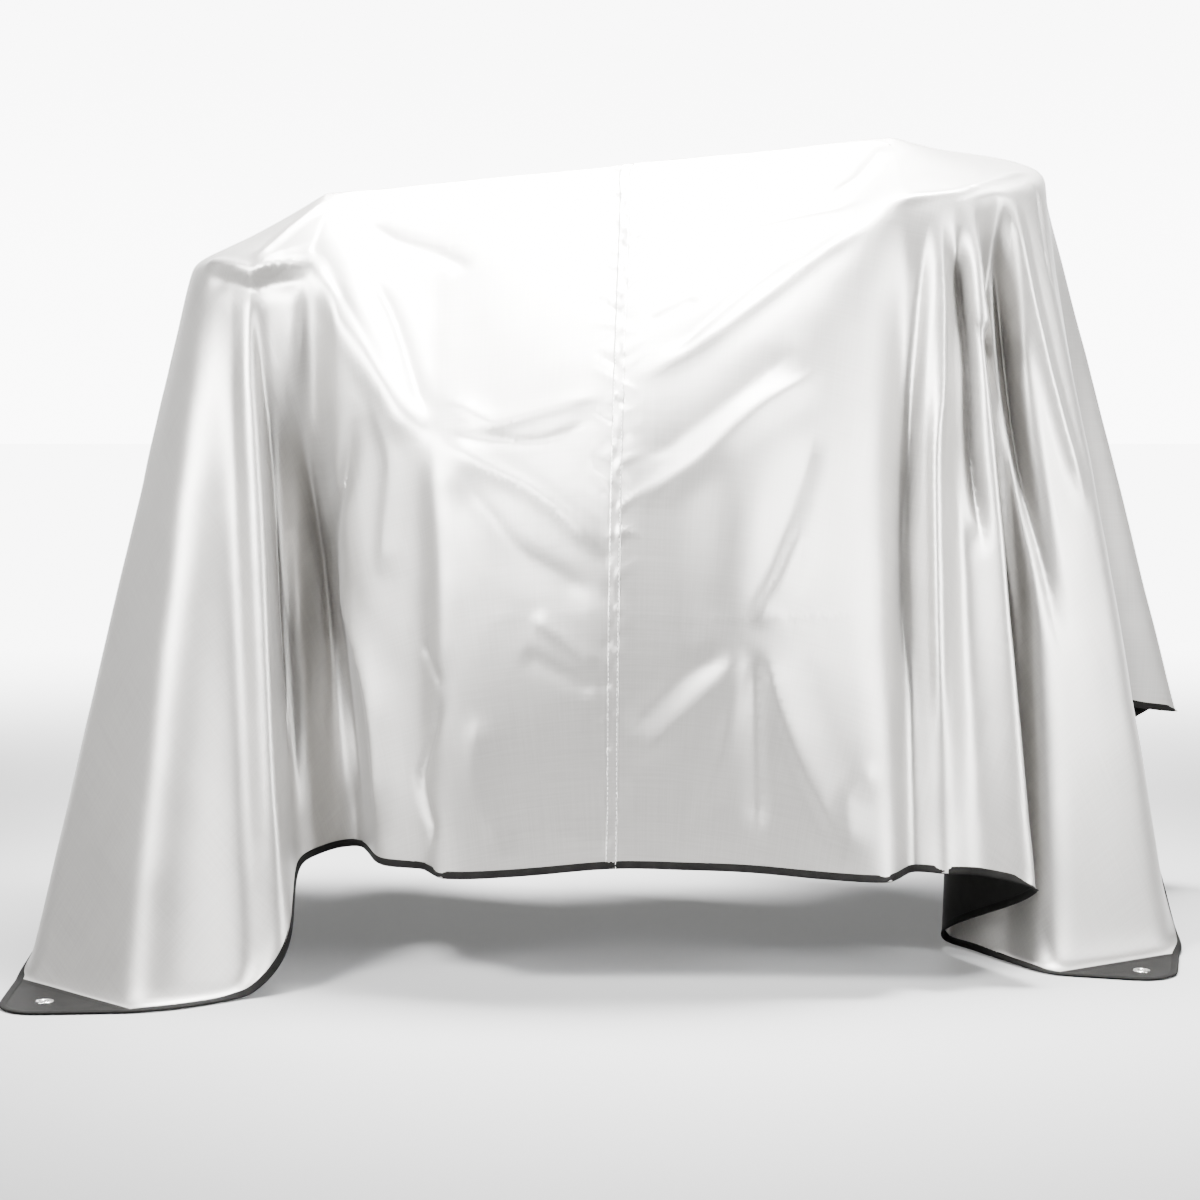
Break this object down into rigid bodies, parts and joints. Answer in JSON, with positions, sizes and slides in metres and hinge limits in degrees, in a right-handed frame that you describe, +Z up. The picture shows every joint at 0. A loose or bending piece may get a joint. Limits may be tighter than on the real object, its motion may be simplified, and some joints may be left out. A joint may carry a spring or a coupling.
{
  "type": "drum set cover",
  "caption": "Loose silver cloth cover draped from a taut ridge into deep hanging folds, with a centre seam, a black bound hem and black corner patches that hold eyelets.",
  "frame": {"origin": "under the top of the cover, where the seam crosses the ridge that carries it", "axes": "+X to the viewer's right along the ridge, +Y away from the viewer, +Z up"},
  "size_m": [1.9229, 1.1241, 1.3188],
  "materials": {
    "cloth": "silver-coated satin weave",
    "binding": "black woven tape",
    "patch": "black matte cloth",
    "eyelet": "bright pressed metal"
  },
  "bodies": {
    "root": {"panel_left": "cloth", "panel_right": "cloth", "hem_binding": "binding", "corner_patch_front_left": "patch", "corner_patch_back_left": "patch", "corner_patch_back_right": "patch", "corner_patch_front_right": "patch", "eyelet_front_left": "eyelet", "eyelet_back_left": "eyelet", "eyelet_back_right": "eyelet", "eyelet_front_right": "eyelet"}
  },
  "joints": []
}
